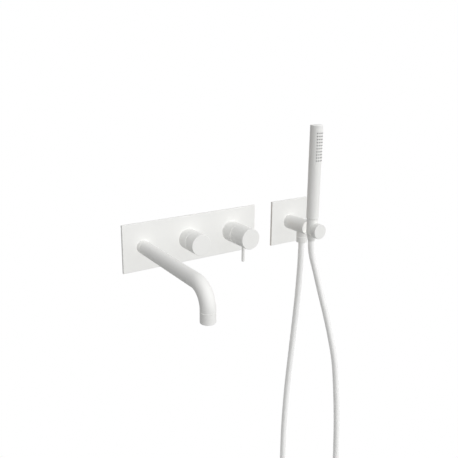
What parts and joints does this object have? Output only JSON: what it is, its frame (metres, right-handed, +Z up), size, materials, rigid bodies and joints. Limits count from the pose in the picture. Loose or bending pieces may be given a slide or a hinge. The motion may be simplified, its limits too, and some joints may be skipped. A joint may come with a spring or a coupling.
{
  "type": "wall mounted bath faucet",
  "caption": "Concealed wall bath mixer set: straight spout, round diverter and lever mixer on one plate, stick hand shower in its holder beside it with hanging hose.",
  "frame": {"origin": "on the finished wall's face, behind the middle of the main plate", "axes": "+X to the right along the wall as seen from the room, +Y into the wall, +Z up; the room is on the -Y side"},
  "size_m": [0.4764, 0.312, 0.9534],
  "materials": {
    "white_coat": "matt white powder coat on brass",
    "brass": "machined, unplated",
    "black_rubber": "moulded",
    "steel": "stainless, as rolled or turned",
    "cartridge_plastic": "moulded",
    "foam_gasket": "closed cell foam",
    "copper": "drawn copper tube",
    "white_hose": "satin, smooth outer skin",
    "green_plastic": "moulded",
    "white_plastic": "moulded, satin",
    "grey_silicone": "moulded silicone"
  },
  "bodies": {
    "root": {"main_plate": "white_coat", "main_plate_gasket": "foam_gasket", "spout_base_ring": "white_coat", "spout_tube": "white_coat", "spout_nipple": "brass", "spout_oring": "black_rubber", "spout_grub_screw": "steel", "aerator_ring": "white_coat", "aerator_cartridge": "cartridge_plastic", "aerator_seal": "black_rubber", "diverter_collar": "white_coat", "diverter_sleeve": "brass", "diverter_cartridge": "cartridge_plastic", "diverter_cartridge_nut": "brass", "mixer_collar": "white_coat", "mixer_sleeve": "brass", "mixer_cartridge": "cartridge_plastic", "mixer_cartridge_nut": "brass", "valve_body": "brass", "hot_inlet_stub": "brass", "cold_inlet_stub": "brass", "body_rail": "steel", "body_screws": "steel", "shower_pipe": "copper", "pipe_nuts": "brass", "wall_elbow": "brass", "elbow_nipple": "brass", "elbow_oring": "black_rubber", "small_plate": "white_coat", "small_plate_gasket": "foam_gasket", "holder_arm": "white_coat", "hose_nut_wall": "white_coat", "hose_washer_wall": "black_rubber", "hose_ferrule_wall": "brass", "shower_hose": "white_hose"},
    "diverter": {"diverter_knob": "white_coat", "diverter_spindle": "brass", "diverter_grub_screw": "steel"},
    "mixer": {"mixer_handle": "white_coat", "mixer_lever": "white_coat", "mixer_spindle": "brass", "mixer_grub_screw": "steel"},
    "hose_end": {"hose_ferrule_handset": "brass"},
    "handset": {"hose_washer_handset": "black_rubber", "hose_cone_nut": "white_coat", "handset_inlet": "brass", "flow_limiter": "green_plastic", "handset_tube": "white_coat", "handset_end_cap": "white_coat", "water_tube": "cartridge_plastic", "spray_chamber": "cartridge_plastic", "nozzle_strip": "white_plastic", "spray_nozzles": "grey_silicone"}
  },
  "joints": [
    {"name": "diverter_turn", "type": "hinge", "parent": "root", "child": "diverter", "pos_m": [-0.012, -0.04, 0], "axis": [0, -1, 0], "range_deg": [0, 90]},
    {"name": "mixer_turn", "type": "hinge", "parent": "root", "child": "mixer", "pos_m": [0.091, -0.05, 0], "axis": [0, -1, 0], "range_deg": [0, 110]},
    {"name": "handset_lift", "type": "slide", "parent": "root", "child": "hose_end", "axis": [0, 0, 1], "range_m": [0, 0.06]},
    {"name": "handset_swivel", "type": "hinge", "parent": "hose_end", "child": "handset", "pos_m": [0.25, -0.079, 0.1], "axis": [0, 0, 1], "range_deg": [-180, 180]}
  ]
}
